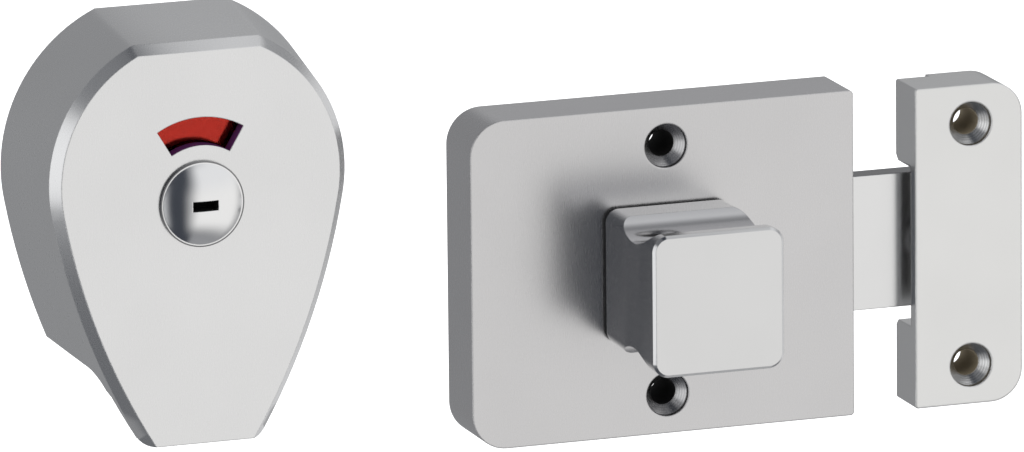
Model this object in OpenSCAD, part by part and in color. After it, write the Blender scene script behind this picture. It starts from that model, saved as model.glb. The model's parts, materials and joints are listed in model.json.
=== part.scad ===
// Toilet indicator bolt: an outside indicator with a pull (left), a turn knob bolt (middle)
// and its keeper (right), all lying on the plane of the door face.
// Millimetres. +X is the way the bolt throws, +Z is up, and the visible faces look along -Y.
// The origin is where the knob's axis meets the door face. A depth is measured from that
// face towards the front, so a depth d lies at y = -d.
// The model stands locked: the bolt is in the keeper and the red sector fills the window.

/* [Bolt case] */
// Width of the bolt case
case_w = 85; // [77:0.5:100]
// Height of the bolt case
case_h = 70; // [67:0.5:84]
// Depth of the bolt case from the door face
case_depth = 15; // [14.25:0.25:20]
// Distance of the knob's axis from the middle of the case, towards the bolt
axis_offset = 0.7; // [0:0.1:1.5]
// Radius of the two corners away from the bolt
case_corner = 7.5; // [3:0.25:10]
// Radius of the two corners beside the bolt
case_nose_corner = 0.8; // [0.4:0.1:3]
// Thickness of the front wall of the case
case_face = 3; // [2.25:0.25:3.5]
// Thickness of the side walls of the case
case_wall = 3; // [2.5:0.25:3.5]
// Thickness of the steel cover on the back
cover_t = 2; // [1.5:0.25:2.25]
// Width of the rim left round a cover
cover_rim = 1.5; // [1:0.1:1.8]
// Thickness of the cast ribs that hold the guides
rib_t = 1.8; // [1.2:0.1:2.4]

/* [Fixing screws] */
// Height between the two screws that pass through the door
screw_pitch = 53.3; // [52.5:0.1:56]
// Radius of the holes for the fixing screws
screw_hole_r = 2.75; // [2.25:0.05:3]
// Radius of the countersunk screw heads
screw_head_r = 4.7; // [4:0.05:5.2]
// Depth of the straight part above the countersink
screw_land = 1; // [0.4:0.1:1.4]
// Metal round each hole inside the case
pillar_wall = 2.3; // [1.8:0.1:2.5]
// Radius of the small screws that hold the covers
small_screw_r = 1.5; // [1.25:0.25:1.75]
// Length of the small cover screws
small_screw_l = 8; // [6:0.5:9]
// How far the heads of the small screws reach past their shanks
small_head = 1.2; // [0.8:0.1:1.3]
// Radius of the hexagon socket in the small screws
small_key_r = 1; // [0.7:0.1:1.1]
// Depth of the hexagon socket in the small screws
small_key_depth = 1; // [0.6:0.1:1.5]
// Metal round each small screw
small_boss_wall = 1.7; // [1.3:0.1:2]
// How far the bosses of the small screws sink into the wall beside them
small_boss_lap = 1; // [0.6:0.1:1.4]
// Distance that the bosses of the case's small screws keep from its side walls
cover_screw_in = 2; // [0:0.25:5]

/* [Rack and pinion] */
// Tooth module of the pinion and the rack
gear_module = 1.2; // [1.1:0.05:1.3]
// Number of teeth on the pinion
pinion_teeth = 20; // [18:1:21]
// Turn of the knob from locked to unlocked
knob_turn = 90; // [80:1:92]
// Play between the teeth, along the pitch line
backlash = 0.12; // [0.06:0.02:0.2]
// Room round the pinion inside the window of the bolt
window_room = 1; // [0.6:0.1:1.2]
// Radius of the pinion's journal in the cover
journal_r = 6; // [5:0.25:7]

/* [Sliding bolt] */
// Height of the bolt where it leaves the case
bolt_h = 28.9; // [24:0.1:31]
// Thickness of the bolt
bolt_t = 5; // [4:0.25:5.5]
// How far the locked bolt stands out of the case
bolt_reach = 22.2; // [20.5:0.1:30]
// Metal above and below the window of the bolt
bolt_web = 4; // [3:0.1:4.2]
// Metal behind the window of the bolt
bolt_tail_web = 2.8; // [2.4:0.1:3.2]
// Radius of the bolt's two end corners
bolt_nose_r = 0.8; // [0.4:0.1:2]
// Thickness of the plastic guides above and below the bolt
guide_t = 2.2; // [1.5:0.1:2.3]
// Thickness of the guides' lips in front of the bolt
guide_lip_t = 0.9; // [0.6:0.1:1.2]
// How far the guides' lips reach over the bolt
guide_lip = 2; // [1:0.1:2.6]

/* [Turn knob] */
// Width of the knob's front face
knob_head = 28.9; // [24:0.1:32]
// Height of the knob's front face
knob_head_h = 30.1; // [24:0.1:32]
// How much narrower and lower the knob is at the case than at its front
knob_taper = 1.2; // [0.4:0.1:4]
// Distance from the case to the knob's front face
knob_reach = 31.5; // [28:0.5:40]
// Radius of the knob's corners at its front
knob_corner = 3.5; // [3:0.1:6]
// Depth of the finger scoops in the top and bottom of the knob
scoop_depth = 3.6; // [2:0.1:6]
// Distance from the case to the start of the scoops
scoop_from = 9.3; // [3:0.1:12]
// Thickness of the knob's rim in front of the scoops
knob_rim = 3; // [2:0.1:6]
// Eased edge round the knob's front face
knob_edge = 0.6; // [0.2:0.1:1]
// Thickness of the black gasket under the knob
gasket_t = 1.2; // [0.5:0.1:1.4]
// How far the gasket stays inside the edge of the knob
gasket_inset = 0.1; // [0.1:0.1:1]
// Radius of the knob's shank in the bush
shank_r = 7; // [6:0.25:8]
// Wall of the plastic bushes
bush_wall = 1.5; // [1:0.1:2]
// Thickness of the flange of the knob's bush
bush_flange_t = 1.2; // [0.8:0.1:1.4]
// How far the flanges of the bushes reach past their barrels
bush_flange = 2.4; // [1.5:0.1:3]
// Height of the wave washer, as it sits squeezed
wave_h = 0.8; // [0.6:0.05:0.9]
// Thickness of the wave washer's sheet
wave_t = 0.4; // [0.3:0.05:0.5]
// How far the wave washer stays clear of the shank and inside the bush's flange
wave_inset = 0.3; // [0.2:0.1:0.6]
// Thickness of the circlips
clip_t = 0.8; // [0.6:0.05:0.9]
// Width of the circlips outside their grooves
clip_w = 2; // [1.5:0.1:2.4]
// Radius of the eyes at the ends of the circlips
clip_eye_r = 1.4; // [1.1:0.1:1.6]
// Radius of the plier holes in the circlips' eyes
clip_hole_r = 0.5; // [0.4:0.05:0.7]
// Angle from the middle of a circlip's gap to each eye
clip_eye_angle = 18; // [16:0.5:24]
// Depth of the circlip grooves
groove_depth = 0.7; // [0.4:0.05:0.9]
// Width across the flats of the square spindle
spindle_af = 5; // [4:0.25:6]
// Depth of the spindle's socket in the knob, from the case's front face
spindle_socket = 18; // [8:0.5:24]
// How far the spindle stands out behind the case, through the door
spindle_tail = 30; // [15:1:60]

/* [Keeper] */
// Width of the keeper
keeper_w = 24.1; // [22:0.1:34]
// Height of the keeper
keeper_h = 69; // [64.5:0.5:84]
// Depth of the keeper from the door face
keeper_depth = 13; // [12:0.1:16]
// Gap between the case and the keeper
keeper_gap = 14.7; // [4:0.1:16]
// How far the keeper's middle lies below the bolt's
keeper_drop = 1; // [0:0.25:2]
// Radius of the two corners away from the bolt
keeper_corner = 7; // [2:0.25:9]
// Radius of the two corners beside the bolt
keeper_open_corner = 0.5; // [0.3:0.1:2]
// Thickness of the keeper's front over the mouth
keeper_face = 2.7; // [2:0.1:3.2]
// Thickness of the wall that closes the mouth
keeper_end = 4; // [3:0.1:5]
// Free height above and below the bolt in the mouth
mouth_room = 2.8; // [2.2:0.1:3.6]
// Bevel at the mouth's back edges
mouth_bevel = 1.2; // [0.4:0.1:2]
// Width of the step that the door closes against
rebate_w = 7.4; // [4:0.1:8]
// Depth of the step that the door closes against
rebate_d = 1.9; // [1:0.1:3]
// Distance from the keeper's open side to its screws
keeper_screw_x = 12.5; // [12.2:0.1:15]
// Height between the keeper's two screws
keeper_pitch = 52.2; // [51.5:0.1:54]
// Radius of the round buffer in the mouth
buffer_r = 4.3; // [3:0.1:4.5]
// Distance from the keeper's open side to the buffer's centre
buffer_x = 5.5; // [5.4:0.1:10]
// How far the buffer stands out of its seat
buffer_proud = 1.2; // [0.8:0.1:1.8]
// Depth of the buffer's seat
buffer_seat = 1.2; // [0.8:0.1:1.6]
// Eased edge of the buffer
buffer_edge = 0.4; // [0.2:0.1:0.6]

/* [Indicator housing] */
// Distance of the indicator's axis from the knob's, to the left
indicator_left = 105.2; // [85:0.1:130]
// Height of the indicator's axis above the knob's
indicator_up = 25.7; // [0:0.1:40]
// Depth of the housing from the door face
housing_depth = 25.4; // [24.5:0.1:32]
// Radius of the housing's round upper part, at the front face
bulge_r = 30; // [28.5:0.25:36]
// Height of that round part's centre above the indicator's axis
bulge_up = 4.9; // [4:0.1:7]
// Height of the flat top above the centre of the round part
top_up = 27; // [26:0.25:28]
// Depth of the foot below the centre of the round part
foot_down = 55.5; // [50:0.5:62]
// Radius of the long curves down to the foot
side_r = 145; // [110:1:220]
// Angle below the horizontal where the long curves start, in degrees
side_from = 10; // [6:0.5:14]
// Radius of the foot's two corners
foot_corner = 3.3; // [1.5:0.1:4]
// Width of the bevel round the front face
bevel_w = 1.9; // [1:0.1:2.4]
// Depth of the bevel round the front face
bevel_d = 2.4; // [1:0.1:3]
// How much the sides spread from the bevel to the door face
side_draft = 3.2; // [2:0.1:4.5]
// Thickness of the housing's front
housing_face = 3; // [2.2:0.1:3.4]
// Thickness of the housing's sides
housing_wall = 3; // [2.6:0.1:3.4]

/* [Finger pull] */
// Height of the pull's ceiling below the centre of the round part, at the door face
pull_down = 36.3; // [36:0.1:38]
// Fall of the ceiling towards the front, in degrees
pull_fall = 11.5; // [6:0.5:14]
// Thickness of the lip at the foot
lip_foot = 3; // [2.4:0.1:4]
// Lean of the lip's inner face, in degrees
lip_lean = 7; // [3:0.5:10]
// Radius between the ceiling and the lip
pull_fillet = 5; // [2:0.25:7]

/* [Indicator window and dome] */
// Inner radius of the window
window_in = 12.2; // [11.6:0.1:13]
// Outer radius of the window
window_out = 18.1; // [16:0.1:18.6]
// Half of the window's angle, in degrees
window_half = 30.8; // [20:0.2:40]
// Thickness of the clear lens behind the window
lens_t = 1; // [0.6:0.1:1.2]
// How far the lens reaches past the window
lens_lap = 1.2; // [0.8:0.1:1.5]
// Radius of the chrome dome
dome_r = 9; // [8:0.1:10]
// Height of the dome's straight rim
dome_rim = 0.7; // [0.4:0.1:1.2]
// Width of the step between the dome's rim and its cap
dome_step = 0.5; // [0.2:0.1:1]
// Height of the dome above its rim
dome_cap = 2.4; // [1.5:0.1:4]
// Length of the coin slot
slot_l = 5.5; // [4:0.1:8]
// Width of the coin slot
slot_w = 2.1; // [1.4:0.1:2.8]
// Depth of the coin slot below the top of the dome
slot_depth = 4; // [2:0.1:5]
// Radius of the dome's shank
dome_shank_r = 5; // [4.5:0.25:5.25]
// Depth of the spindle's socket in the dome's shank
dome_socket = 12; // [8:0.5:14]
// Radius of the indicator disc
disc_r = 19.4; // [18.8:0.1:20]
// Thickness of the indicator disc
disc_t = 1.5; // [1:0.1:2]
// Thickness of the coloured sectors on the disc
sector_t = 0.4; // [0.2:0.05:0.5]
// How far the coloured sectors stay inside the disc's edge
sector_inset = 0.3; // [0.1:0.1:0.6]
// Half of the angle that each coloured sector covers, in degrees
sector_half = 43; // [41:0.5:44.5]
// Radius of the disc's hub
disc_hub_r = 8; // [7.6:0.1:9]
// Length of the disc's hub behind the disc
disc_hub_l = 3; // [2:0.25:5]

/* [Threaded inserts] */
// Radius of the thread's bore in the inserts
thread_r = 2.1; // [1.6:0.05:2.3]
// Outer radius of the inserts
insert_r = 3.2; // [2.8:0.05:3.3]
// Length of the inserts
insert_l = 10; // [6:0.5:12]
// Metal round each insert
insert_wall = 1; // [0.8:0.05:1.1]

/* [Indicator cover screws] */
// Distance of the two lower screws from the middle of the housing
lower_screw_x = 20.3; // [19:0.1:21.5]
// Depth of the two lower screws below the centre of the round part
lower_screw_down = 26; // [24:0.25:27]

/* [Clearances] */
// Radial clearance of a shaft in its bore
run_fit = 0.05; // [0.02:0.01:0.08]
// Gap at each side of the sliding bolt
slide_gap = 0.2; // [0.1:0.05:0.3]
// Gap between a turning face and the face behind it
face_gap = 0.05; // [0.03:0.01:0.2]
// Gap round the covers in their seats
seat_gap = 0.15; // [0.05:0.05:0.3]
// Gap at each flat of the square spindle
square_fit = 0.05; // [0:0.01:0.1]
// Free length in front of the spindle's end in the knob
spindle_play = 1; // [0.5:0.1:2]
// Gap between the bolt's shoulder and the case, when locked
stop_gap = 0.5; // [0.2:0.1:1]

/* [Hidden] */
// Steps round a full circle on round pieces, and on the housing's long curves
$fn = 96;
fine = 180;
finest = 360;
// Overrun that takes a cut clear of the surface it starts from
over = 1;
// Overlap that joins two cuts or two solids which would only touch
hair = 0.01;
// Smallest radius left on the inner corners of the case
least_corner = 0.3;

// Levels inside the bolt case, as depths
bolt_back = cover_t + slide_gap;
bolt_front = bolt_back + bolt_t;
case_inside = case_depth - case_face;
guide_front = bolt_front + slide_gap + guide_lip_t;
flange_back = case_inside - bush_flange_t;
clip_front = flange_back - wave_h;
clip_back = clip_front - clip_t;
shank_end = clip_back - groove_depth;
knob_foot = case_depth + gasket_t + face_gap;
knob_front = case_depth + knob_reach;

// Sizes of the rack and pinion
pitch_r = gear_module * pinion_teeth / 2;
tooth_pitch = PI * gear_module;
dedendum = 1.25 * gear_module;
tip_r = pitch_r + gear_module;
root_r = pitch_r - dedendum;
pressure_angle = 20;
flank_steps = 5;
throw = pitch_r * knob_turn * PI / 180;

// The bolt case's two sides along X
case_left = -case_w / 2 - axis_offset;
case_right = case_w / 2 - axis_offset;

// Places of the sliding bolt along X, when locked
bolt_end = case_right + bolt_reach;
bolt_shoulder = case_right - case_wall - stop_gap;
window_left = -tip_r - window_room;
window_right = throw + tip_r + window_room;
bolt_tail = window_left - bolt_tail_web;
tail_half = pitch_r + dedendum + bolt_web;
rail_in = tail_half + slide_gap;
rail_out = rail_in + guide_t;
rack_teeth = ceil((throw + 2 * tooth_pitch) / tooth_pitch / 2) * 2 + 2;

// Radii round the fixing screws, the cover screws and the bushes
pillar_r = screw_hole_r + pillar_wall;
small_boss_r = small_screw_r + small_boss_wall;
small_head_r = small_screw_r + small_head;
small_head_h = small_head;
cover_screw_x = case_w / 2 - case_wall - small_boss_r - cover_screw_in;
cover_screw_z = case_h / 2 - case_wall - small_boss_r + small_boss_lap;
bush_r = shank_r + run_fit + bush_wall;
dome_bush_r = dome_shank_r + run_fit + bush_wall;
insert_boss_r = insert_r + insert_wall;

// Places of the keeper and its parts
keeper_left = case_right + keeper_gap;
keeper_inside = keeper_depth - keeper_face;
mouth_half = bolt_h / 2 + mouth_room;
buffer_back = keeper_inside - buffer_proud;

// Levels inside the indicator, as depths
housing_inside = housing_depth - housing_face;
bevel_back = housing_depth - bevel_d;
dome_flange_t = lens_t;
sector_front = housing_inside - lens_t - slide_gap;
disc_front = sector_front - sector_t;
disc_back = disc_front - disc_t;
hub_back = disc_back - disc_hub_l;
dome_shank_end = face_gap;

// Centre of the long side curves, seen from the centre of the round part. They start a hair
// inside the round part, so that the two surfaces cross there and don't only touch.
side_x = (side_r - bulge_r) * cos(side_from) + hair;
side_z = (side_r - bulge_r) * sin(side_from);

// Growth of the housing's outline at a depth behind the bevel
function spread(d) = bevel_w + side_draft * (1 - d / bevel_back);

// Height of the pull's ceiling at a depth, seen from the centre of the round part
function ceiling(d) = -pull_down - d * tan(pull_fall);

// Point at a radius and an angle
function polar(r, a) = [r * cos(a), r * sin(a)];

// Extrudes a shape drawn in X and Z between two depths
module slab(d0, d1) {
    translate([0, -d0, 0])
        rotate([90, 0, 0])
            linear_extrude(d1 - d0)
                children();
}

// Extrudes a shape drawn in depth and Z between two places along X
module along_x(x0, x1) {
    translate([x1, 0, 0])
        rotate([90, 0, -90])
            linear_extrude(x1 - x0)
                children();
}

// A round bar or cone about the Y axis between two depths
module bar(d0, d1, r0, r1) {
    translate([0, -d0, 0])
        rotate([90, 0, 0])
            cylinder(h = d1 - d0, r1 = r0, r2 = r1);
}

// A flat ring between two depths
module ring(d0, d1, inner, outer) {
    difference() {
        bar(d0, d1, outer, outer);
        bar(d0 - over, d1 + over, inner, inner);
    }
}

// The corner between a square and the quarter circle inside it
module corner_cut(r) {
    difference() {
        translate([-r, -r])
            square(r + over);
        translate([-r, -r])
            circle(r);
    }
}

// A rectangle in X and Z with one radius on its left corners and one on its right
module plate_outline(x0, x1, half_h, r_left, r_right) {
    difference() {
        translate([x0, -half_h])
            square([x1 - x0, 2 * half_h]);
        translate([x1, half_h])
            corner_cut(r_right);
        translate([x1, -half_h])
            rotate(-90)
                corner_cut(r_right);
        translate([x0, half_h])
            rotate(90)
                corner_cut(r_left);
        translate([x0, -half_h])
            rotate(180)
                corner_cut(r_left);
    }
}

// The outline of the bolt case, drawn in by an inset
module case_outline(inset) {
    plate_outline(case_left + inset, case_right - inset, case_h / 2 - inset,
        max(case_corner - inset, least_corner), max(case_nose_corner - inset, least_corner));
}

// Puts a copy at the top and the bottom of a pair of screws
module screw_pair(pitch) {
    for (side = [-1, 1])
        translate([0, 0, side * pitch / 2])
            children();
}

// The hole of a countersunk fixing screw through a plate of the given depth
module screw_cut(depth) {
    cone_depth = screw_head_r - screw_hole_r;
    bar(depth - screw_land, depth + over, screw_head_r, screw_head_r);
    bar(depth - screw_land - cone_depth, depth - screw_land, screw_hole_r, screw_head_r);
    bar(-over, depth - screw_land - cone_depth + hair, screw_hole_r, screw_hole_r);
}

// Puts a copy at each of the four screws of the back cover
module at_cover_screws() {
    for (side = [-1, 1], rise = [-1, 1])
        translate([side * cover_screw_x - axis_offset, 0, rise * cover_screw_z])
            children();
}

// A small countersunk screw with its head in the door face, driven by a hexagon key
module small_screw() {
    difference() {
        union() {
            bar(0, small_head_h, small_head_r, small_screw_r);
            bar(small_head_h, small_screw_l, small_screw_r, small_screw_r);
        }
        translate([0, over, 0])
            rotate([90, 0, 0])
                cylinder(h = over + small_key_depth, r = small_key_r, $fn = 6);
    }
}

// The seat of a small screw in a cover
module small_screw_cut() {
    bar(0, small_head_h, small_head_r + seat_gap, small_screw_r + seat_gap);
    bar(-over, hair, small_head_r + seat_gap, small_head_r + seat_gap);
    bar(0, cover_t + over, small_screw_r + seat_gap, small_screw_r + seat_gap);
}

// Puts a copy at each eye of a circlip, a little outside the middle of its band
module at_clip_eyes(outer) {
    for (side = [-1, 1])
        rotate([0, side * clip_eye_angle, 0])
            translate([0, 0, -(outer - clip_eye_r / 2)])
                children();
}

// A circlip in its groove: an open ring with an eye at each end
module circlip(d0, shaft_r) {
    inner = shaft_r - groove_depth;
    outer = shaft_r + clip_w;
    difference() {
        union() {
            ring(d0, d0 + clip_t, inner, outer);
            at_clip_eyes(outer)
                bar(d0, d0 + clip_t, clip_eye_r, clip_eye_r);
        }
        at_clip_eyes(outer)
            bar(d0 - over, d0 + clip_t + over, clip_hole_r, clip_hole_r);
        slab(d0 - over, d0 + clip_t + over)
            polygon([
                [0, 0],
                polar(2 * outer, -90 - clip_eye_angle / 2),
                polar(2 * outer, -90 + clip_eye_angle / 2)]);
        bar(d0 - over, d0 + clip_t + over, inner, inner);
    }
}

// The square of the spindle, grown by a clearance on each flat
module spindle_square(gap) {
    square(spindle_af + 2 * gap, center = true);
}

// Outline of one pinion tooth, from root to tip and back, centred on an angle
function unwrap(a) = tan(a) * 180 / PI - a;
base_r = pitch_r * cos(pressure_angle);
tooth_half = 90 / pinion_teeth - backlash / 2 / pitch_r * 180 / PI / 2;
function flank_angle(r) = tooth_half + unwrap(pressure_angle) - unwrap(acos(min(1, base_r / r)));
function flank_r(i) = max(base_r, root_r) + (tip_r - max(base_r, root_r)) * i / flank_steps;
function tooth(a) = concat(
    [polar(root_r, a - flank_angle(base_r))],
    [for (i = [0:flank_steps]) polar(flank_r(i), a - flank_angle(flank_r(i)))],
    [for (i = [flank_steps:-1:0]) polar(flank_r(i), a + flank_angle(flank_r(i)))],
    [polar(root_r, a + flank_angle(base_r))]);

// Corners of one rack tooth that hangs from the root line, centred on a place along X
rack_root = pitch_r + dedendum;
rack_tip = pitch_r - gear_module;
function rack_half(z) = tooth_pitch / 4 - backlash / 4 + (z - pitch_r) * tan(pressure_angle);
function rack_tooth(x) = [
    [x - rack_half(rack_root), rack_root],
    [x - rack_half(rack_tip), rack_tip],
    [x + rack_half(rack_tip), rack_tip],
    [x + rack_half(rack_root), rack_root]];

// Bolt unit

module bolt_case() color("silver") {
    difference() {
        slab(0, case_depth)
            case_outline(0);
        difference() {
            slab(-over, case_inside)
                case_outline(case_wall);
            screw_pair(screw_pitch)
                bar(-2 * over, case_depth, pillar_r, pillar_r);
            at_cover_screws()
                bar(cover_t, case_depth, small_boss_r, small_boss_r);
            for (side = [-1, 1])
                guide_rib(side);
        }
        difference() {
            slab(-over, cover_t)
                case_outline(cover_rim);
            screw_pair(screw_pitch)
                bar(-2 * over, case_depth, pillar_r, pillar_r);
        }
        screw_pair(screw_pitch)
            screw_cut(case_depth);
        at_cover_screws()
            bar(0, small_screw_l + over, small_screw_r + run_fit, small_screw_r + run_fit);
        bar(0, case_depth + over, bush_r, bush_r);
        along_x(case_right - case_wall - over, case_right + over)
            translate([-over, -bolt_h / 2 - slide_gap])
                square([bolt_front + slide_gap + over, bolt_h + 2 * slide_gap]);
    }
}

// A cast rib beside a guide, with the shelf that backs the guide against the cover
module guide_rib(side) {
    along_x(case_left, case_right)
        polygon([
            [cover_t, side * rail_out],
            [guide_front, side * rail_out],
            [guide_front, side * (rail_in - guide_lip / 2)],
            [case_depth, side * (rail_in - guide_lip / 2)],
            [case_depth, side * (rail_out + rib_t)],
            [cover_t, side * (rail_out + rib_t)]]);
}

module back_cover() color("lightslategray") {
    difference() {
        slab(0, cover_t)
            case_outline(cover_rim + seat_gap);
        screw_pair(screw_pitch)
            bar(-over, cover_t + over, pillar_r + seat_gap, pillar_r + seat_gap);
        at_cover_screws()
            small_screw_cut();
        bar(-over, cover_t + over, journal_r + run_fit, journal_r + run_fit);
    }
}

module back_cover_screws() color("gray") {
    at_cover_screws()
        small_screw();
}

module bolt_guides() color("whitesmoke") {
    inset = case_wall + seat_gap;
    for (side = [-1, 1])
        along_x(case_left + inset, case_right - inset)
            polygon([
                [cover_t, side * rail_in],
                [bolt_front + slide_gap, side * rail_in],
                [bolt_front + slide_gap, side * (rail_in - guide_lip)],
                [guide_front, side * (rail_in - guide_lip)],
                [guide_front, side * rail_out],
                [cover_t, side * rail_out]]);
}

module slide_bolt() color("gainsboro") {
    first = -(rack_teeth / 2 - 0.5) + round(throw / tooth_pitch / 2);
    slab(bolt_back, bolt_front)
        difference() {
            union() {
                translate([bolt_tail, -tail_half])
                    square([bolt_shoulder - bolt_tail, 2 * tail_half]);
                plate_outline(0, bolt_end, bolt_h / 2, bolt_nose_r, bolt_nose_r);
            }
            polygon(concat(
                [[window_right, rack_root], [window_right, -tip_r - window_room],
                    [window_left, -tip_r - window_room], [window_left, rack_root]],
                [for (i = [0:rack_teeth - 1]) each rack_tooth((first + i) * tooth_pitch)]));
        }
}

module pinion() color("goldenrod") {
    difference() {
        union() {
            slab(bolt_back, bolt_front)
                polygon([for (i = [0:pinion_teeth - 1]) each tooth(90 + i * 360 / pinion_teeth)]);
            bar(face_gap, bolt_back + over, journal_r, journal_r);
            bar(bolt_front - over, shank_end - face_gap, shank_r, shank_r);
        }
        slab(-over, case_depth)
            spindle_square(square_fit);
    }
}

module knob_bush() color("ivory") {
    difference() {
        union() {
            bar(case_inside, case_depth, bush_r, bush_r);
            bar(flange_back, case_inside, bush_r + bush_flange, bush_r + bush_flange);
        }
        bar(0, case_depth + over, shank_r + run_fit, shank_r + run_fit);
    }
}

// A sprung washer of three waves, squeezed between the bush and the circlip
waves = 3;
wave_steps = 48;
wave_swing = (wave_h - wave_t) / 2 - face_gap;
function wave_level(i) =
    (clip_front + flange_back) / 2 + wave_swing * sin(i * 360 * waves / wave_steps);
function wave_corner(i, r, side) =
    let (p = polar(r, i * 360 / wave_steps)) [p[0], -wave_level(i) - side * wave_t / 2, p[1]];

module wave_washer() color("darkgray") {
    inner = shank_r + wave_inset;
    outer = bush_r + bush_flange - wave_inset;
    points = [for (i = [0:wave_steps - 1]) each [
        wave_corner(i, inner, -1),
        wave_corner(i, outer, -1),
        wave_corner(i, outer, 1),
        wave_corner(i, inner, 1)]];
    faces = [for (i = [0:wave_steps - 1], k = [0:3])
        let (a = 4 * i, b = 4 * ((i + 1) % wave_steps), n = (k + 1) % 4)
            each [[a + k, a + n, b + k], [b + k, a + n, b + n]]];
    polyhedron(points, faces);
}

module knob_circlip() color("dimgray") {
    circlip(clip_back, shank_r);
}

module knob_gasket() color("black") {
    inset = knob_taper / 2 + gasket_inset;
    half_w = knob_head / 2 - inset;
    half_h = knob_head_h / 2 - inset;
    difference() {
        slab(case_depth + face_gap, knob_foot)
            plate_outline(-half_w, half_w, half_h, knob_corner - inset, knob_corner - inset);
        bar(case_depth, knob_foot + over, shank_r + run_fit, shank_r + run_fit);
    }
}

// The knob's form between two depths: a rounded rectangle, larger by g0 at depth d0 and by g1
// at d1 than the front face. Its corners keep their centres, so they are cones. They are wider
// by a lap, so that they cross the flat sides and don't only touch them.
module knob_form(d0, d1, g0, g1, lap) {
    half_w = knob_head / 2;
    half_h = knob_head_h / 2;
    far = knob_head + knob_head_h + abs(g0);
    rise = over * (g1 - g0) / (d1 - d0);
    corner = knob_corner + lap;
    difference() {
        intersection() {
            along_x(-far, far)
                knob_side(d0, d1, half_h + g0, half_h + g1);
            rotate([0, 90, 0])
                along_x(-far, far)
                    knob_side(d0, d1, half_w + g0, half_w + g1);
        }
        for (sx = [-1, 1], sz = [-1, 1])
            translate([sx * (half_w - knob_corner), 0, sz * (half_h - knob_corner)])
                difference() {
                    slab(d0 - over, d1 + over)
                        translate([min(sx, 0) * far, min(sz, 0) * far])
                            square(far);
                    bar(d0 - over, d1 + over, corner + g0 - rise, corner + g1 + rise);
                }
    }
}

// The outline of the knob seen from one side, straight between two half widths
module knob_side(d0, d1, half0, half1) {
    polygon([[d0, -half0], [d1, -half1], [d1, half1], [d0, half0]]);
}

// The scoops are cut by a round bar whose axis lies outside the knob. It meets the sloping top
// of the knob at the two ends of the scoop.
scoop_start = case_depth + scoop_from;
scoop_end = knob_front - knob_rim;
scoop_middle = (scoop_start + scoop_end) / 2;
knob_lean = atan2(knob_taper / 2, knob_front - knob_foot);
scoop_chord = (scoop_end - scoop_start) / 2 / cos(knob_lean);
scoop_r = (pow(scoop_chord, 2) + pow(scoop_depth, 2)) / (2 * scoop_depth);
scoop_axis = [
    scoop_middle - (scoop_r - scoop_depth) * sin(knob_lean),
    knob_head_h / 2 - (knob_front - scoop_middle) * tan(knob_lean)
        + (scoop_r - scoop_depth) * cos(knob_lean)];

// The sides meet an eased edge at the front, which has its own corners and a wider lap
module turn_knob() color("silver") {
    steep = knob_front - knob_foot - knob_edge;
    difference() {
        union() {
            intersection() {
                knob_form(knob_foot, knob_front, -knob_taper / 2, 0, hair);
                knob_form(knob_foot, knob_front, steep, -knob_edge, 3 * hair);
            }
            bar(shank_end, knob_foot + over, shank_r, shank_r);
        }
        for (side = [-1, 1])
            translate([0, -scoop_axis[0], side * scoop_axis[1]])
                rotate([0, 90, 0])
                    cylinder(h = 2 * knob_head, r = scoop_r, center = true, $fn = fine);
        ring(clip_back, clip_front, shank_r - groove_depth, shank_r + over);
        slab(shank_end - over, case_depth + spindle_socket)
            spindle_square(square_fit);
    }
}

module knob_spindle() color("darkgray") {
    slab(-spindle_tail, case_depth + spindle_socket - spindle_play)
        spindle_square(0);
}

// Keeper

module at_keeper() {
    translate([keeper_left, 0, -keeper_drop])
        children();
}

module keeper_body() color("silver") {
    at_keeper()
        difference() {
            slab(0, keeper_depth)
                plate_outline(0, keeper_w, keeper_h / 2, keeper_open_corner, keeper_corner);
            slab(-over, rebate_d)
                translate([-over, -keeper_h])
                    square([rebate_w + over, 2 * keeper_h]);
            along_x(-over, keeper_w - keeper_end)
                polygon([
                    [-over, mouth_half + mouth_bevel + rebate_d + over],
                    [rebate_d + mouth_bevel, mouth_half],
                    [keeper_inside, mouth_half],
                    [keeper_inside, -mouth_half],
                    [rebate_d + mouth_bevel, -mouth_half],
                    [-over, -mouth_half - mouth_bevel - rebate_d - over]]);
            translate([keeper_screw_x, 0, 0])
                screw_pair(keeper_pitch)
                    screw_cut(keeper_depth);
            translate([buffer_x, 0, 0])
                bar(keeper_inside - over, keeper_inside + buffer_seat, buffer_r, buffer_r);
        }
}

module keeper_buffer() color("darkgray") {
    at_keeper()
        translate([buffer_x, 0, 0]) {
            bar(buffer_back + buffer_edge, keeper_inside + buffer_seat, buffer_r, buffer_r);
            bar(buffer_back, buffer_back + buffer_edge, buffer_r - buffer_edge, buffer_r);
        }
}

// Indicator

module at_indicator() {
    translate([-indicator_left, 0, indicator_up])
        children();
}

// A slice of the housing's shield shape between two depths. The outline is grown by g0 at
// depth d0 and by g1 at d1, apart from the foot, so its arcs become cones and stay round.
// The round part is drawn whole, and the long curves take over outside it.
module shield(d0, d1, g0, g1) {
    joint0 = -(bulge_r + g0) * sin(side_from);
    joint1 = -(bulge_r + g1) * sin(side_from);
    reach = 2 * (bulge_r + g0);
    translate([0, 0, bulge_up]) {
        intersection() {
            bar(d0, d1, bulge_r + g0, bulge_r + g1, $fn = fine);
            along_x(-reach, reach)
                polygon([[d0, -reach], [d1, -reach], [d1, top_up + g1], [d0, top_up + g0]]);
        }
        intersection() {
            for_both_sides()
                translate([-side_x, 0, side_z])
                    bar(d0, d1, side_r + g0, side_r + g1, $fn = finest);
            along_x(-reach, reach)
                polygon([[d0, joint0], [d1, joint1], [d1, -foot_down], [d0, -foot_down]]);
        }
    }
}

// The part that a shape and its mirror image share
module for_both_sides() {
    intersection() {
        children();
        mirror([1, 0, 0])
            children();
    }
}

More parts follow.
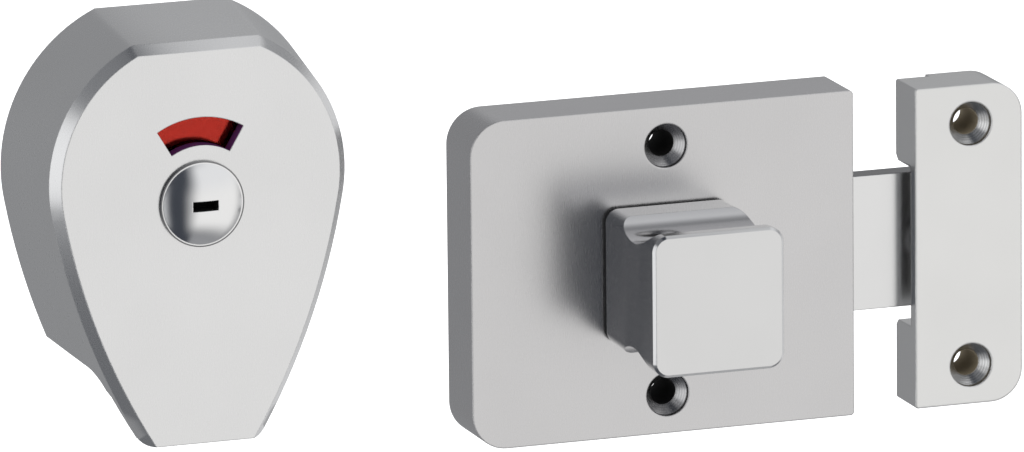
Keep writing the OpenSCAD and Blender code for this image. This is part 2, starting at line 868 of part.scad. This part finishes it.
// What lies above the pull's ceiling, lifted by a rise
module above_ceiling(rise) {
    reach = 2 * bulge_r;
    translate([0, 0, bulge_up])
        along_x(-reach, reach)
            polygon([
                [-over, ceiling(-over) + rise],
                [housing_depth, ceiling(housing_depth) + rise],
                [housing_depth, reach],
                [-over, reach]]);
}

// The finger space behind the lip
module pull_cut() {
    reach = 2 * bulge_r;
    lip_in = housing_depth - lip_foot;
    // The lip's inner face leans back above the foot, and meets the ceiling at the corner
    slope = tan(lip_lean);
    fall = tan(pull_fall);
    corner_d = (lip_in - (foot_down - pull_down) * slope) / (1 - fall * slope);
    corner_z = ceiling(corner_d);
    open_angle = 90 + pull_fall - lip_lean;
    tangent = pull_fillet / tan(open_angle / 2);
    ceiling_touch = [corner_d - tangent * cos(pull_fall), corner_z + tangent * sin(pull_fall)];
    lip_touch = [corner_d + tangent * sin(lip_lean), corner_z - tangent * cos(lip_lean)];
    centre = [ceiling_touch[0] - pull_fillet * sin(pull_fall),
        ceiling_touch[1] - pull_fillet * cos(pull_fall)];
    translate([0, 0, bulge_up])
        along_x(-reach, reach) {
            polygon([
                [-over, ceiling(-over)],
                ceiling_touch,
                lip_touch,
                [lip_in + over * slope, -foot_down - over],
                [-over, -foot_down - over]]);
            translate(centre)
                circle(pull_fillet);
        }
}

// The rounding of one corner of the foot, as the piece that is cut away
module foot_corner_cut() {
    grown = side_r + bevel_w;
    centre_z = -foot_down + foot_corner;
    run = sqrt(pow(grown - foot_corner, 2) - pow(centre_z - side_z, 2));
    centre = [run - side_x, centre_z];
    lean = atan2(side_z - centre_z, run);
    far = 3 * foot_corner;
    translate([0, 0, bulge_up])
        slab(-over, housing_depth + over)
            difference() {
                polygon([
                    centre,
                    centre + polar(far, -lean),
                    centre + polar(far * 1.5, -45),
                    centre + polar(far, -90)]);
                translate(centre)
                    circle(foot_corner);
            }
}

// A sector of a ring about the Y axis, in X and Z
module sector(inner, outer, middle, half) {
    far = 1.5 * outer;
    difference() {
        intersection() {
            circle(outer);
            polygon([
                [0, 0],
                polar(far, middle - half),
                polar(far, middle),
                polar(far, middle + half)]);
        }
        circle(inner);
    }
}

// Puts a copy at each of the four screws of the indicator's cover
module at_indicator_screws() {
    upper = [bulge_r + bevel_w - housing_wall - small_boss_r + small_boss_lap, bulge_up];
    lower = [lower_screw_x, bulge_up - lower_screw_down];
    for (side = [-1, 1], place = [upper, lower])
        translate([side * place[0], 0, place[1]])
            children();
}

module indicator_housing() color("silver") {
    at_indicator()
        difference() {
            intersection() {
                shield(0, housing_depth, spread(0), spread(housing_depth));
                shield(0, housing_depth, bevel_w * housing_depth / bevel_d, 0);
            }
            foot_corner_cut();
            mirror([1, 0, 0])
                foot_corner_cut();
            pull_cut();
            difference() {
                intersection() {
                    shield(-over, housing_inside, spread(-over) - housing_wall,
                        spread(housing_inside) - housing_wall);
                    above_ceiling(housing_wall);
                }
                screw_pair(screw_pitch)
                    bar(-2 * over, housing_depth, insert_boss_r, insert_boss_r);
                at_indicator_screws()
                    bar(cover_t, housing_depth, small_boss_r, small_boss_r);
            }
            difference() {
                intersection() {
                    shield(-over, cover_t, spread(-over) - cover_rim, spread(cover_t) - cover_rim);
                    above_ceiling(cover_rim);
                }
                screw_pair(screw_pitch)
                    bar(-2 * over, housing_depth, insert_boss_r, insert_boss_r);
            }
            screw_pair(screw_pitch)
                bar(-over, insert_l, insert_r, insert_r);
            at_indicator_screws()
                bar(0, small_screw_l + over, small_screw_r + run_fit, small_screw_r + run_fit);
            bar(0, housing_depth + over, dome_bush_r, dome_bush_r);
            slab(housing_inside - over, housing_depth + over)
                sector(window_in, window_out, 90, window_half);
        }
}

module indicator_cover() color("lightslategray") {
    inset = cover_rim + seat_gap;
    at_indicator()
        difference() {
            intersection() {
                shield(0, cover_t, spread(0) - inset, spread(cover_t) - inset);
                above_ceiling(inset);
            }
            screw_pair(screw_pitch)
                bar(-over, cover_t + over, insert_boss_r + seat_gap, insert_boss_r + seat_gap);
            at_indicator_screws()
                small_screw_cut();
            bar(-over, cover_t + over, dome_shank_r + run_fit, dome_shank_r + run_fit);
        }
}

module indicator_cover_screws() color("gray") {
    at_indicator()
        at_indicator_screws()
            small_screw();
}

module threaded_inserts() color("goldenrod") {
    at_indicator()
        screw_pair(screw_pitch)
            ring(0, insert_l, thread_r, insert_r);
}

module window_lens() color([0.85, 0.9, 0.95, 0.35]) {
    at_indicator()
        slab(housing_inside - lens_t, housing_inside)
            sector(window_in - lens_lap, window_out + lens_lap, 90,
                window_half + asin(lens_lap / window_out));
}

module dome_bush() color("ivory") {
    at_indicator()
        difference() {
            union() {
                bar(housing_inside, housing_depth, dome_bush_r, dome_bush_r);
                bar(housing_inside - dome_flange_t, housing_inside,
                    dome_bush_r + bush_flange, dome_bush_r + bush_flange);
            }
            bar(0, housing_depth + over, dome_shank_r + run_fit, dome_shank_r + run_fit);
        }
}

// The chrome turn button: a rimmed dome with a coin slot, on a shank that drives the disc
module release_dome() color("gainsboro") {
    rim_back = housing_depth + face_gap;
    rim_front = rim_back + dome_rim;
    cap_r = dome_r - dome_step;
    ball_r = (pow(cap_r, 2) + pow(dome_cap, 2)) / (2 * dome_cap);
    at_indicator()
        difference() {
            union() {
                bar(rim_back, rim_front, dome_r, dome_r);
                intersection() {
                    translate([0, -(rim_front + dome_cap - ball_r), 0])
                        sphere(ball_r);
                    bar(rim_back, rim_front + dome_cap + over, cap_r, cap_r);
                }
                bar(dome_shank_end, rim_front, dome_shank_r, dome_shank_r);
            }
            slab(rim_front + dome_cap - slot_depth, rim_front + dome_cap + over)
                square([slot_l, slot_w], center = true);
            slab(dome_shank_end - over, dome_socket)
                spindle_square(square_fit);
            ring(hub_back - clip_t, hub_back, dome_shank_r - groove_depth, dome_shank_r + over);
            slab(hub_back, disc_front)
                shank_flats(0);
        }
}

// The two slivers that flats take off the dome's shank, less a clearance
module shank_flats(gap) {
    flat = dome_shank_r - groove_depth + gap;
    for (side = [0, 180])
        rotate(side)
            translate([flat, -dome_shank_r - over])
                square(2 * (dome_shank_r + over));
}

module dome_circlip() color("dimgray") {
    at_indicator()
        circlip(hub_back - clip_t, dome_shank_r);
}

// The disc's bore is round with two flats, so that it turns with the shank
module indicator_disc() color("white") {
    at_indicator()
        difference() {
            union() {
                bar(disc_back, disc_front, disc_r, disc_r);
                bar(hub_back, disc_back + hair, disc_hub_r, disc_hub_r);
            }
            slab(hub_back - over, disc_front + over)
                difference() {
                    circle(dome_shank_r + run_fit);
                    shank_flats(run_fit);
                }
        }
}

// A coloured sector on the front of the disc
module colour_sector(middle) {
    at_indicator()
        slab(disc_front, sector_front)
            sector(window_in - lens_lap, disc_r - sector_inset, middle, sector_half);
}

module red_sector() color("firebrick") {
    colour_sector(90);
}

module vacant_sector() color("seagreen") {
    colour_sector(90 + knob_turn);
}

bolt_case();
back_cover();
back_cover_screws();
bolt_guides();
slide_bolt();
pinion();
knob_bush();
wave_washer();
knob_circlip();
knob_gasket();
turn_knob();
knob_spindle();
keeper_body();
keeper_buffer();
indicator_housing();
indicator_cover();
indicator_cover_screws();
threaded_inserts();
window_lens();
dome_bush();
release_dome();
dome_circlip();
indicator_disc();
red_sector();
vacant_sector();
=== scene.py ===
"""Looks for the toilet indicator bolt: materials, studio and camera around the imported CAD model.
Everything is in metres, in the CAD's frame: +X is the way the bolt throws, +Z is up, and the
visible faces look along -Y."""

import json
import math

import bpy
from mathutils import Matrix, Vector


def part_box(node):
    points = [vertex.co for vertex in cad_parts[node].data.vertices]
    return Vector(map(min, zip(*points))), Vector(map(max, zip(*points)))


IMAGE_W = 1024

# Points nearer than the weld shade as one, and an edge above the angle stays sharp
WELD = 2e-6
SHARP_ANGLE = math.radians(27)

# Sizes of the CAD model that the masks of the materials go by. The film is how far a mask reaches
# past the face that it marks, or stays off the face beside it. The slot's lip is the depth where
# its mask starts. The axes of the knob's scoops lie scoop_z above and below the knob's own axis.
FILM = 0.00004
WINDOW_OUT = 0.0181
SLOT_L, SLOT_W, SLOT_LIP = 0.0055, 0.0021, 0.0004
SINK_R = 0.0047
DOME_STEP_R = 0.0087
SCOOP_Y, SCOOP_Z, SCOOP_R = -0.03368, 0.02580, 0.014605

# What the finishes share. A noise mostly stays inside its middle. Rings are the marks of turning in
# a countersink. The normal of a narrow face points up or down by more than upright.
NOISE_MIDDLE = (0.3, 0.7)
GRAIN_SCALE = 900
RELIEF_DEPTH = 0.00002
RING_PITCH, RING_STRENGTH, RING_TONE = 0.00042, 0.4, (0.35, 0.35, 0.35)
# Painted shade inside a mask is matt, with this roughness, so that it reflects little
PAINTED_SHADE_ROUGHNESS = 0.95
UPRIGHT = 0.9

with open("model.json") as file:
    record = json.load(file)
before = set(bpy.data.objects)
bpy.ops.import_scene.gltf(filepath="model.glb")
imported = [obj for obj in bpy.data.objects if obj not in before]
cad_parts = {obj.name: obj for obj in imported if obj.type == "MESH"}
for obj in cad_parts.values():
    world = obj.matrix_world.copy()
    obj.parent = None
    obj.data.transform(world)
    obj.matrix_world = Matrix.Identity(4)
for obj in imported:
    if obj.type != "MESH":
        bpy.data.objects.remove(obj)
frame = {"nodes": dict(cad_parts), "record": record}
nodes = frame["nodes"]
mounts = {m["name"]: m for m in frame["record"]["mounts"]}
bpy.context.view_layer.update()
HOUSING_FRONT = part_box("indicator_housing")[0][1]
DOME_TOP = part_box("release_dome")[0][1]


# Smooth shading that keeps the sharp edges, as a modifier, so the CAD meshes stay as they are

def smoothing_group():
    group = bpy.data.node_groups.new("smooth_by_angle", "GeometryNodeTree")
    group.interface.new_socket("Geometry", in_out="INPUT", socket_type="NodeSocketGeometry")
    group.interface.new_socket("Geometry", in_out="OUTPUT", socket_type="NodeSocketGeometry")
    n, link = group.nodes, group.links.new
    start = n.new("NodeGroupInput")
    end = n.new("NodeGroupOutput")
    weld = n.new("GeometryNodeMergeByDistance")
    weld.inputs["Distance"].default_value = WELD
    angle = n.new("GeometryNodeInputMeshEdgeAngle")
    sharp = n.new("FunctionNodeCompare")
    sharp.data_type = "FLOAT"
    sharp.operation = "GREATER_THAN"
    sharp.inputs["B"].default_value = SHARP_ANGLE
    faces = n.new("GeometryNodeSetShadeSmooth")
    faces.domain = "FACE"
    edges = n.new("GeometryNodeSetShadeSmooth")
    edges.domain = "EDGE"
    edges.inputs["Shade Smooth"].default_value = False
    link(start.outputs[0], weld.inputs["Geometry"])
    link(weld.outputs["Geometry"], faces.inputs["Geometry"])
    link(faces.outputs["Geometry"], edges.inputs["Geometry"])
    link(angle.outputs["Unsigned Angle"], sharp.inputs["A"])
    link(sharp.outputs["Result"], edges.inputs["Selection"])
    link(edges.outputs["Geometry"], end.inputs[0])
    return group


smooth = smoothing_group()
for o in nodes.values():
    o.modifiers.new("smooth", "NODES").node_group = smooth
    imported = o.data.attributes.get("custom_normal")
    if imported:
        o.data.attributes.remove(imported)


# Shader steps, for the materials and the studio. Unless it says otherwise, a value is a socket.

def feed(link, value, socket):
    """Links a value to a socket, or sets the socket where the value is a constant."""
    if isinstance(value, bpy.types.NodeSocket):
        link(value, socket)
    elif socket.type == "RGBA":
        socket.default_value = (*value, 1)
    else:
        socket.default_value = value


def step(n, link, kind, operation, values):
    node = n.new(kind)
    node.operation = operation
    for value, socket in zip(values, node.inputs):
        feed(link, value, socket)
    return node


def math_step(n, link, operation, *values):
    """A step of arithmetic on sockets or numbers. A test gives one where it holds, else nothing."""
    return step(n, link, "ShaderNodeMath", operation, values).outputs["Value"]


def vector_step(n, link, operation, *values):
    """A step of arithmetic on vectors, which are sockets or constants."""
    node = step(n, link, "ShaderNodeVectorMath", operation, values)
    return node.outputs["Value" if operation == "LENGTH" else "Vector"]


def map_range(n, link, value, start, end, low=0.0, high=1.0, curve="LINEAR"):
    """Maps start and end to low and high, and holds the result between them."""
    r = n.new("ShaderNodeMapRange")
    r.interpolation_type = curve
    r.inputs["From Min"].default_value = start
    r.inputs["From Max"].default_value = end
    r.inputs["To Min"].default_value = low
    r.inputs["To Max"].default_value = high
    link(value, r.inputs["Value"])
    return r.outputs["Result"]


def mixed(n, link, factor, a, b, kind="RGBA"):
    """From a to b by a factor. They are sockets or constants: colours, or numbers as FLOAT."""
    mix = n.new("ShaderNodeMix")
    mix.data_type = kind
    link(factor, mix.inputs["Factor"])
    feed(link, a, mix.inputs["A"])
    feed(link, b, mix.inputs["B"])
    return mix.outputs["Result"]


def coordinates(n, kind="Object"):
    """Where a point lies, in the piece's own coordinates unless another kind is named."""
    return n.new("ShaderNodeTexCoord").outputs[kind]


def split(n, link, vector):
    """X, Y and Z of a vector."""
    parts = n.new("ShaderNodeSeparateXYZ")
    link(vector, parts.inputs["Vector"])
    return parts.outputs["X"], parts.outputs["Y"], parts.outputs["Z"]


def noise(n, link, scale, stretch=(1, 1, 1), detail=3.0):
    """A noise in the piece's own coordinates, of scale times stretch cycles a metre by an axis."""
    place = n.new("ShaderNodeMapping")
    place.inputs["Scale"].default_value = stretch
    texture = n.new("ShaderNodeTexNoise")
    texture.inputs["Scale"].default_value = scale
    texture.inputs["Detail"].default_value = detail
    link(coordinates(n), place.inputs["Vector"])
    link(place.outputs["Vector"], texture.inputs["Vector"])
    return texture.outputs["Fac"]


def spread(n, link, value, low, high):
    """Maps the middle of a noise to a range of numbers."""
    return map_range(n, link, value, *NOISE_MIDDLE, low, high)


def two_tones(n, link, value, a, b):
    """A colour between two tones, by a noise."""
    return mixed(n, link, spread(n, link, value, 0, 1), a, b)


def relief(n, link, height, strength, edge):
    """A fine relief on top of an eased edge."""
    ease = n.new("ShaderNodeBevel")
    ease.samples = 6
    ease.inputs["Radius"].default_value = edge
    bump = n.new("ShaderNodeBump")
    bump.inputs["Strength"].default_value = strength
    bump.inputs["Distance"].default_value = RELIEF_DEPTH
    link(height, bump.inputs["Height"])
    link(ease.outputs["Normal"], bump.inputs["Normal"])
    return bump.outputs["Normal"]


# Masks, one inside and nothing outside, of where painted shade goes, and the rings round the screws

def off_axes(n, link, centre, half_pitch, across):
    """How far a point lies from the nearer of two axes, one above and one below a centre. Across
    has a one for each of the directions that count."""
    where = vector_step(n, link, "SUBTRACT", coordinates(n), centre)
    where = vector_step(n, link, "ABSOLUTE", where)
    where = vector_step(n, link, "SUBTRACT", where, (0, 0, half_pitch))
    where = vector_step(n, link, "MULTIPLY", where, across)
    return vector_step(n, link, "LENGTH", where)


def off_mount(n, link, mount):
    """How far a point lies from the axis of a mount, or from the nearer one of its two screws."""
    half_pitch = mount["dims"].get("spacing_y_mm", 0) / 2000
    return off_axes(n, link, mount["pos_m"], half_pitch, (1, 0, 1))


def inside_screw_holes(mount):
    """A mask of the bores of a pair of countersunk screws, where painted shade goes."""
    limit = mount["dims"]["hole_r_mm"] / 1000 + FILM
    return lambda n, link: math_step(n, link, "LESS_THAN", off_mount(n, link, mount), limit)


def turning_marks(n, link, mount):
    """Fine rings that the countersink leaves round the axes of a pair of screws."""
    off = off_mount(n, link, mount)
    wave = math_step(n, link, "MULTIPLY", off, 2 * math.pi / RING_PITCH)
    wave = math_step(n, link, "SINE", wave)
    rings = map_range(n, link, wave, -1, 1, high=RING_STRENGTH)
    return math_step(n, link, "MULTIPLY", rings, math_step(n, link, "LESS_THAN", off, SINK_R))


def shaded_narrow_faces(n, link):
    """A mask of the faces that look straight up or down, which get painted shade."""
    up = split(n, link, coordinates(n, "Normal"))[2]
    return math_step(n, link, "GREATER_THAN", math_step(n, link, "ABSOLUTE", up), UPRIGHT)


def dome_step(n, link):
    """A mask of the narrow step between the dome's rim and its cap, which gets painted shade."""
    off = off_mount(n, link, mounts["dome_socket"])
    return math_step(n, link, "GREATER_THAN", off, DOME_STEP_R)


def in_scoops(n, link):
    """A mask of the finger scoops in the top and bottom of the knob, which get painted shade."""
    off = off_axes(n, link, (0, SCOOP_Y, 0), SCOOP_Z, (0, 1, 1))
    return math_step(n, link, "LESS_THAN", off, SCOOP_R + FILM)


def inside_window(n, link):
    """A mask of the walls of the indicator's window: behind the front face, near the dome. They
    get painted shade, a dark purple.
    """
    off = off_mount(n, link, mounts["dome_socket"])
    near = math_step(n, link, "LESS_THAN", off, WINDOW_OUT + FILM)
    depth = split(n, link, coordinates(n))[1]
    deep = math_step(n, link, "GREATER_THAN", depth, HOUSING_FRONT + FILM)
    return math_step(n, link, "MULTIPLY", near, deep)


def inside_slot(n, link):
    """A mask of the walls and the bottom of the dome's coin slot, painted near black as shade."""
    centre = mounts["dome_socket"]["pos_m"]
    where = vector_step(n, link, "SUBTRACT", coordinates(n), (centre[0], 0, centre[2]))
    x, y, z = split(n, link, where)
    mask = math_step(n, link, "GREATER_THAN", y, DOME_TOP + SLOT_LIP)
    for value, width in ((x, SLOT_L), (z, SLOT_W)):
        off = math_step(n, link, "ABSOLUTE", value)
        near = math_step(n, link, "LESS_THAN", off, width / 2 + FILM)
        mask = math_step(n, link, "MULTIPLY", mask, near)
    return mask


# Materials

def new_material(name):
    m = bpy.data.materials.new(name)
    m.use_nodes = True
    return m, m.node_tree.nodes, m.node_tree.links.new, m.node_tree.nodes["Principled BSDF"]


def metal(name, tone, rough, tint=(1.0, 1.0, 1.0), vary=0.015, grain=(9000, 225, 225),
          strength=0.0018, edge=0.00035, metallic=1.0, turned=None, shade_patch=None, mask=None,
          dark=None, painted=True):
    """A plated or bare metal with a fine grain, in cycles a metre along each axis, and slow, faint
    blotches. Turned is the mount whose countersinks have fine rings. The shade patch is a mask and
    a darker tone inside it: painted shade. Inside the mask the tone dark is painted shade, as in a
    bore or a slot; there it is matt and not metal, but stays metal if painted is false."""
    m, n, link, p = new_material(name)
    fine = noise(n, link, GRAIN_SCALE, [g / GRAIN_SCALE for g in grain], 2.0)
    slow = noise(n, link, 45, detail=4.0)
    low = [c * tone * (1 - vary) for c in tint]
    high = [c * tone * (1 + vary) for c in tint]
    colour = two_tones(n, link, slow, low, high)
    roughness = spread(n, link, fine, rough * 0.98, rough * 1.02)
    p.inputs["Metallic"].default_value = metallic
    if turned:
        colour = mixed(n, link, turning_marks(n, link, turned), colour, RING_TONE)
    # Painted shade: a darker metal tone inside the patch's mask
    if shade_patch:
        where, shade_patch_tone = shade_patch
        colour = mixed(n, link, where(n, link), colour, shade_patch_tone)
    # Painted shade: inside the mask the colour is the dark tone, and where painted it is matt and
    # not metal
    if mask:
        inside = mask(n, link)
        colour = mixed(n, link, inside, colour, dark)
        if painted:
            link(math_step(n, link, "LESS_THAN", inside, 0.5), p.inputs["Metallic"])
            roughness = mixed(n, link, inside, roughness, PAINTED_SHADE_ROUGHNESS, "FLOAT")
    link(colour, p.inputs["Base Color"])
    link(roughness, p.inputs["Roughness"])
    link(relief(n, link, fine, strength, edge), p.inputs["Normal"])
    return m


def plastic(name, a, b, rough):
    """A moulded plastic or rubber with a slight mottle."""
    m, n, link, p = new_material(name)
    fine = noise(n, link, 400)
    link(two_tones(n, link, fine, a, b), p.inputs["Base Color"])
    link(spread(n, link, fine, rough * 0.9, rough * 1.1), p.inputs["Roughness"])
    link(relief(n, link, fine, strength=0.08, edge=0.0002), p.inputs["Normal"])
    return m


def clear(name):
    """A clear moulded plastic with a coating that keeps reflections away."""
    m, n, link, p = new_material(name)
    p.inputs["Transmission Weight"].default_value = 1.0
    p.inputs["IOR"].default_value = 1.04
    faint = noise(n, link, 300)
    link(two_tones(n, link, faint, (0.93, 0.94, 0.95), (0.97, 0.98, 0.99)), p.inputs["Base Color"])
    link(spread(n, link, faint, 0.0, 0.01), p.inputs["Roughness"])
    return m


# Ways of the grain: upright, along the bolt, and the same in all directions
VERTICAL = (7000, 7000, 225)
FLAT = (225, 7000, 7000)
EVEN = (225, 225, 225)
FOIL = dict(vary=0.02, grain=EVEN, strength=0.004, metallic=0.93)
looks = {
    # Painted shade: the bores of the case's screws are near black, matt and not metal
    "case": metal(
        "satin_chrome_case", 0.65, 0.27, (1.0, 0.99, 0.995), grain=VERTICAL, edge=0.0005,
        turned=mounts["case_screws"], mask=inside_screw_holes(mounts["case_screws"]),
        dark=(0.006, 0.0055, 0.005)),
    # Painted shade: the walls of the window are a dark purple, matt and not metal
    "housing": metal(
        "satin_chrome_housing", 0.80, 0.27, grain=VERTICAL,
        mask=inside_window, dark=(0.085, 0.013, 0.085)),
    # Painted shade: the bores of the keeper's screws are a dark brown, matt and not metal
    "keeper": metal(
        "satin_chrome_keeper", 0.79, 0.25, (1.0, 1.0, 0.99), grain=VERTICAL, edge=0.0007,
        turned=mounts["keeper_screws"], mask=inside_screw_holes(mounts["keeper_screws"]),
        dark=(0.26, 0.22, 0.155)),
    # Painted shade: the finger scoops are a darker metal tone
    "knob": metal(
        "satin_chrome_knob", 0.72, 0.13, grain=VERTICAL, edge=0.00018,
        shade_patch=(in_scoops, (0.62, 0.62, 0.63))),
    # Painted shade: the bolt's top and bottom faces are a darker metal
    "bolt": metal(
        "satin_chrome_bolt", 0.79, 0.22, grain=FLAT,
        mask=shaded_narrow_faces, dark=(0.155, 0.155, 0.16), painted=False),
    # Painted shade: the step round the dome's cap is a darker metal, and the coin slot near black
    "bright": metal(
        "bright_chrome", 0.86, 0.15, grain=EVEN, strength=0.002, edge=0.00025,
        shade_patch=(dome_step, (0.22, 0.22, 0.225)), mask=inside_slot, dark=(0.002, 0.002, 0.002)),
    "zinc": metal("zinc_plate", 0.5, 0.38, (0.98, 1.0, 1.03), 0.1, FLAT, 0.05),
    "sintered": metal(
        "sintered_steel", 0.3, 0.42, vary=0.12, grain=(3000, 3000, 3000), strength=0.2),
    "spring": metal("spring_steel", 0.22, 0.3, (0.95, 0.98, 1.05), 0.1, strength=0.05),
    "brass": metal("brass", 0.7, 0.3, (1.0, 0.78, 0.42), 0.05, strength=0.05),
    "red": metal("red_foil", 0.28, 0.14, (1.0, 0.065, 0.04), **FOIL),
    "green": metal("green_foil", 0.28, 0.14, (0.06, 1.0, 0.3), **FOIL),
    "nylon": plastic("natural_nylon", (0.72, 0.7, 0.63), (0.78, 0.76, 0.69), 0.45),
    "gasket": plastic("black_rubber", (0.005, 0.005, 0.006), (0.009, 0.009, 0.010), 0.8),
    "buffer": plastic("grey_buffer", (0.42, 0.42, 0.43), (0.48, 0.48, 0.49), 0.5),
    "white": plastic("white_plastic", (0.74, 0.74, 0.72), (0.8, 0.8, 0.78), 0.3),
    "lens": clear("clear_lens"),
}
LOOK_OF = {
    "bolt_case": "case",
    "back_cover": "zinc",
    "back_cover_screws": "zinc",
    "bolt_guides": "nylon",
    "slide_bolt": "bolt",
    "pinion": "sintered",
    "knob_bush": "nylon",
    "wave_washer": "spring",
    "knob_circlip": "spring",
    "knob_gasket": "gasket",
    "turn_knob": "knob",
    "knob_spindle": "zinc",
    "keeper_body": "keeper",
    "keeper_buffer": "buffer",
    "indicator_housing": "housing",
    "indicator_cover": "zinc",
    "indicator_cover_screws": "zinc",
    "threaded_inserts": "brass",
    "window_lens": "lens",
    "dome_bush": "nylon",
    "release_dome": "bright",
    "dome_circlip": "spring",
    "indicator_disc": "white",
    "red_sector": "red",
    "vacant_sector": "green",
}
for name, o in nodes.items():
    o.data.materials.clear()
    o.data.materials.append(looks[LOOK_OF[name]])


# Studio: a pale floor, a surround of soft panels, and one soft lamp. The base of the surround goes
# from the tone ahead of the object to the tone behind it, over a range of Y of the direction. Turn
# is the direction in degrees to the right of straight in front, and rise is the height in degrees.
# Each panel has its range of turn, its range of rise, the width of its soft edge and what it adds.
AHEAD = (0.052, 0.058, 0.072)
BEHIND = (0.302, 0.306, 0.316)
BASE_CHANGE = (-0.3, 0.5)
PANELS = [
    ((-4, 78), (-48, 10), 30, (0.88, 0.87, 0.85)),
    ((1, 92), (10, 52), 30, (0.80, 0.80, 0.80)),
    ((-112, -66), (-22, 28), 12, (0.90, 0.90, 0.90)),
    ((-66, -42), (-44, 28), 20, (0.90, 0.90, 0.90)),
    ((-112, -30), (32, 70), 18, (0.13, 0.13, 0.13)),
    ((30, 130), (50, 110), 24, (0.54, 0.54, 0.54)),
    ((98, 142), (-32, 17), 14, (0.48, 0.48, 0.48)),
    ((0, 150), (-100, -56), 16, (0.26, 0.26, 0.26)),
    ((126, 172), (6, 50), 16, (0.13, 0.13, 0.13)),
]


def smooth_step(n, link, value, start, end):
    """Rises from nothing to one between two values, which may come in either order."""
    return map_range(n, link, value, start, end, curve="SMOOTHSTEP")


def surround():
    world = bpy.data.worlds.new("studio")
    bpy.context.scene.world = world
    world.use_nodes = True
    n, link = world.node_tree.nodes, world.node_tree.links.new
    x, y, z = split(n, link, coordinates(n, "Generated"))
    turn = math_step(n, link, "ARCTAN2", x, math_step(n, link, "MULTIPLY", y, -1))
    rise = math_step(n, link, "ARCSINE", z)
    total = mixed(n, link, smooth_step(n, link, y, *BASE_CHANGE), AHEAD, BEHIND)
    for turns, rises, soft, light in PANELS:
        window = None
        for value, (low, high) in ((turn, turns), (rise, rises)):
            for limit, way in ((low, 1), (high, -1)):
                start = math.radians(limit - way * soft / 2)
                end = math.radians(limit + way * soft / 2)
                side = smooth_step(n, link, value, start, end)
                window = math_step(n, link, "MULTIPLY", window, side) if window else side
        total = vector_step(n, link, "MULTIPLY_ADD", light, window, total)
    link(total, n["Background"].inputs["Color"])
    n["Background"].inputs["Strength"].default_value = 1.0


def floor():
    far, level = 6.0, -0.05
    corners = [(x, y, level) for x, y in ((-far, -far), (far, -far), (far, far), (-far, far))]
    mesh = bpy.data.meshes.new("floor")
    mesh.from_pydata(corners, [], [(0, 1, 2, 3)])
    o = bpy.data.objects.new("floor", mesh)
    bpy.context.scene.collection.objects.link(o)
    m, n, link, p = new_material("pale_floor")
    slow = noise(n, link, 3)
    link(two_tones(n, link, slow, (0.86, 0.86, 0.86), (0.88, 0.88, 0.88)), p.inputs["Base Color"])
    p.inputs["Roughness"].default_value = 0.9
    p.inputs["Specular IOR Level"].default_value = 0.1
    p.inputs["Emission Color"].default_value = (1, 1, 1, 1)
    p.inputs["Emission Strength"].default_value = 1.0
    mesh.materials.append(m)
    o.visible_glossy = False


def soft_lamp():
    place, target = Vector((-0.5, -0.9, 1.2)), Vector((-0.03, 0, 0))
    data = bpy.data.lights.new("soft_lamp", "AREA")
    data.size = 1.0
    data.energy = 9
    o = bpy.data.objects.new("soft_lamp", data)
    o.location = place
    o.rotation_euler = (target - place).to_track_quat("-Z", "Y").to_euler()
    o.visible_glossy = False
    bpy.context.scene.collection.objects.link(o)


surround()
floor()
soft_lamp()


# Camera: the photograph's angle, found by fitting the corners and holes of all three units

def photo_camera():
    azimuth, elevation, roll = math.radians(19.423), math.radians(13.126), math.radians(-0.588)
    target = Vector((-0.028835, 0, 0.008765))
    distance, focal_px = 2.6729, 12790.8
    level = math.cos(elevation)
    back = Vector((-math.sin(azimuth) * level, -math.cos(azimuth) * level, math.sin(elevation)))
    unrolled_right = (-back).cross(Vector((0, 0, 1))).normalized()
    unrolled_up = unrolled_right.cross(-back)
    right = math.cos(roll) * unrolled_right + math.sin(roll) * unrolled_up
    up = math.cos(roll) * unrolled_up - math.sin(roll) * unrolled_right
    data = bpy.data.cameras.new("camera")
    data.sensor_fit = "HORIZONTAL"
    data.sensor_width = 36
    data.lens = focal_px * data.sensor_width / IMAGE_W
    data.clip_start, data.clip_end = 0.1, 50
    o = bpy.data.objects.new("camera", data)
    place = target + back * distance
    o.matrix_world = Matrix((
        (right.x, up.x, back.x, place.x),
        (right.y, up.y, back.y, place.y),
        (right.z, up.z, back.z, place.z),
        (0, 0, 0, 1)))
    bpy.context.scene.collection.objects.link(o)
    bpy.context.scene.camera = o


photo_camera()
bpy.context.scene.view_settings.view_transform = "Standard"
